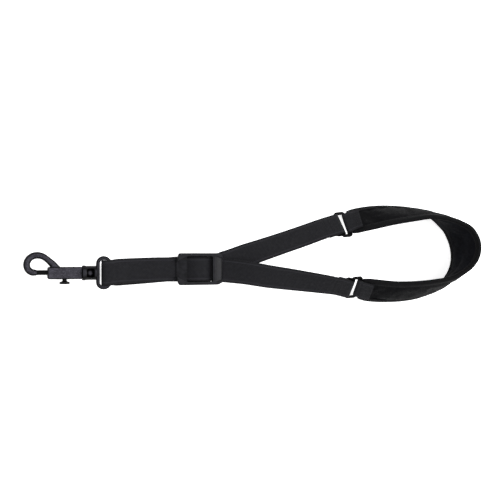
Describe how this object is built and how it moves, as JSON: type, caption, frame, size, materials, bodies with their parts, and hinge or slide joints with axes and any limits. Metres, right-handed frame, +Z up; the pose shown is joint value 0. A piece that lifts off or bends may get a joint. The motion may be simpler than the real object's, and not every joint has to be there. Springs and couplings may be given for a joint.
{
  "type": "saxophone neck strap",
  "caption": "Padded neck strap for a saxophone: webbing loop with a friction slider, a curved neck pad on two rings and a swivel hook with a sprung gate.",
  "frame": {"origin": "centre of the strap's footprint on the table it lies on", "axes": "+X from the swivel hook to the far end of the neck pad, +Y to the upper branch, +Z up from the table"},
  "size_m": [0.488, 0.1109, 0.0559],
  "materials": {
    "webbing": "black woven nylon strap webbing",
    "hook_plastic": "charcoal moulded acetal, fine grain",
    "bolt_plastic": "black moulded acetal",
    "slider_plastic": "black moulded acetal, satin",
    "ring_plastic": "black moulded acetal, satin",
    "spring_steel": "bright spring wire",
    "cover_fabric": "black smooth coated cover cloth",
    "lining_fabric": "black brushed velour lining",
    "binding_tape": "black woven binding tape",
    "pad_foam": "closed-cell foam",
    "thread": "black sewing thread"
  },
  "bodies": {
    "strap": {"webbing_hook_turn": "webbing", "webbing_branch_upper": "webbing", "webbing_branch_lower": "webbing", "pad_tab_upper": "webbing", "pad_tab_lower": "webbing", "pad_cover": "cover_fabric", "pad_foam": "pad_foam", "pad_lining": "lining_fabric", "pad_binding_bottom": "binding_tape", "pad_binding_top": "binding_tape"},
    "slider": {"slider_frame": "slider_plastic", "webbing_slider_front": "webbing", "webbing_slider_back": "webbing"},
    "swivel_loop": {"strap_loop": "hook_plastic"},
    "hook": {"hook_body": "hook_plastic", "gate_spring": "spring_steel"},
    "gate": {"gate_bolt": "bolt_plastic", "thumb_knob": "bolt_plastic"},
    "upper_ring": {"ring_upper": "ring_plastic"},
    "lower_ring": {"ring_lower": "ring_plastic"}
  },
  "joints": [
    {"name": "slider_travel", "type": "slide", "parent": "strap", "child": "slider", "axis": [1, 0, 0], "range_m": [-0.036, 0.07], "deforming": ["webbing_hook_turn", "webbing_branch_upper", "webbing_branch_lower"]},
    {"name": "loop_tilt", "type": "hinge", "parent": "strap", "child": "swivel_loop", "pos_m": [-0.16105, -0.0189, 0.00939], "axis": [0, 1, 0], "range_deg": [-90, 90]},
    {"name": "hook_swivel", "type": "hinge", "parent": "swivel_loop", "child": "hook", "pos_m": [-0.18, -0.0189, 0.008], "axis": [0.9973, 0, 0.0732], "continuous": true},
    {"name": "gate_slide", "type": "slide", "parent": "hook", "child": "gate", "axis": [0.9973, 0, 0.0732], "range_m": [0, 0.008], "stiffness_N_per_m": 250, "springref_m": -0.006, "deforming": ["gate_spring"]},
    {"name": "upper_ring_rock", "type": "hinge", "parent": "strap", "child": "upper_ring", "pos_m": [0.0961, 0.0316, 0.0106], "axis": [0.0993, -0.8328, 0.5446], "range_deg": [-3, 3]},
    {"name": "lower_ring_rock", "type": "hinge", "parent": "strap", "child": "lower_ring", "pos_m": [0.1077, -0.0373, 0.0132], "axis": [-0.051, 0.7296, 0.682], "range_deg": [-3, 3]}
  ]
}
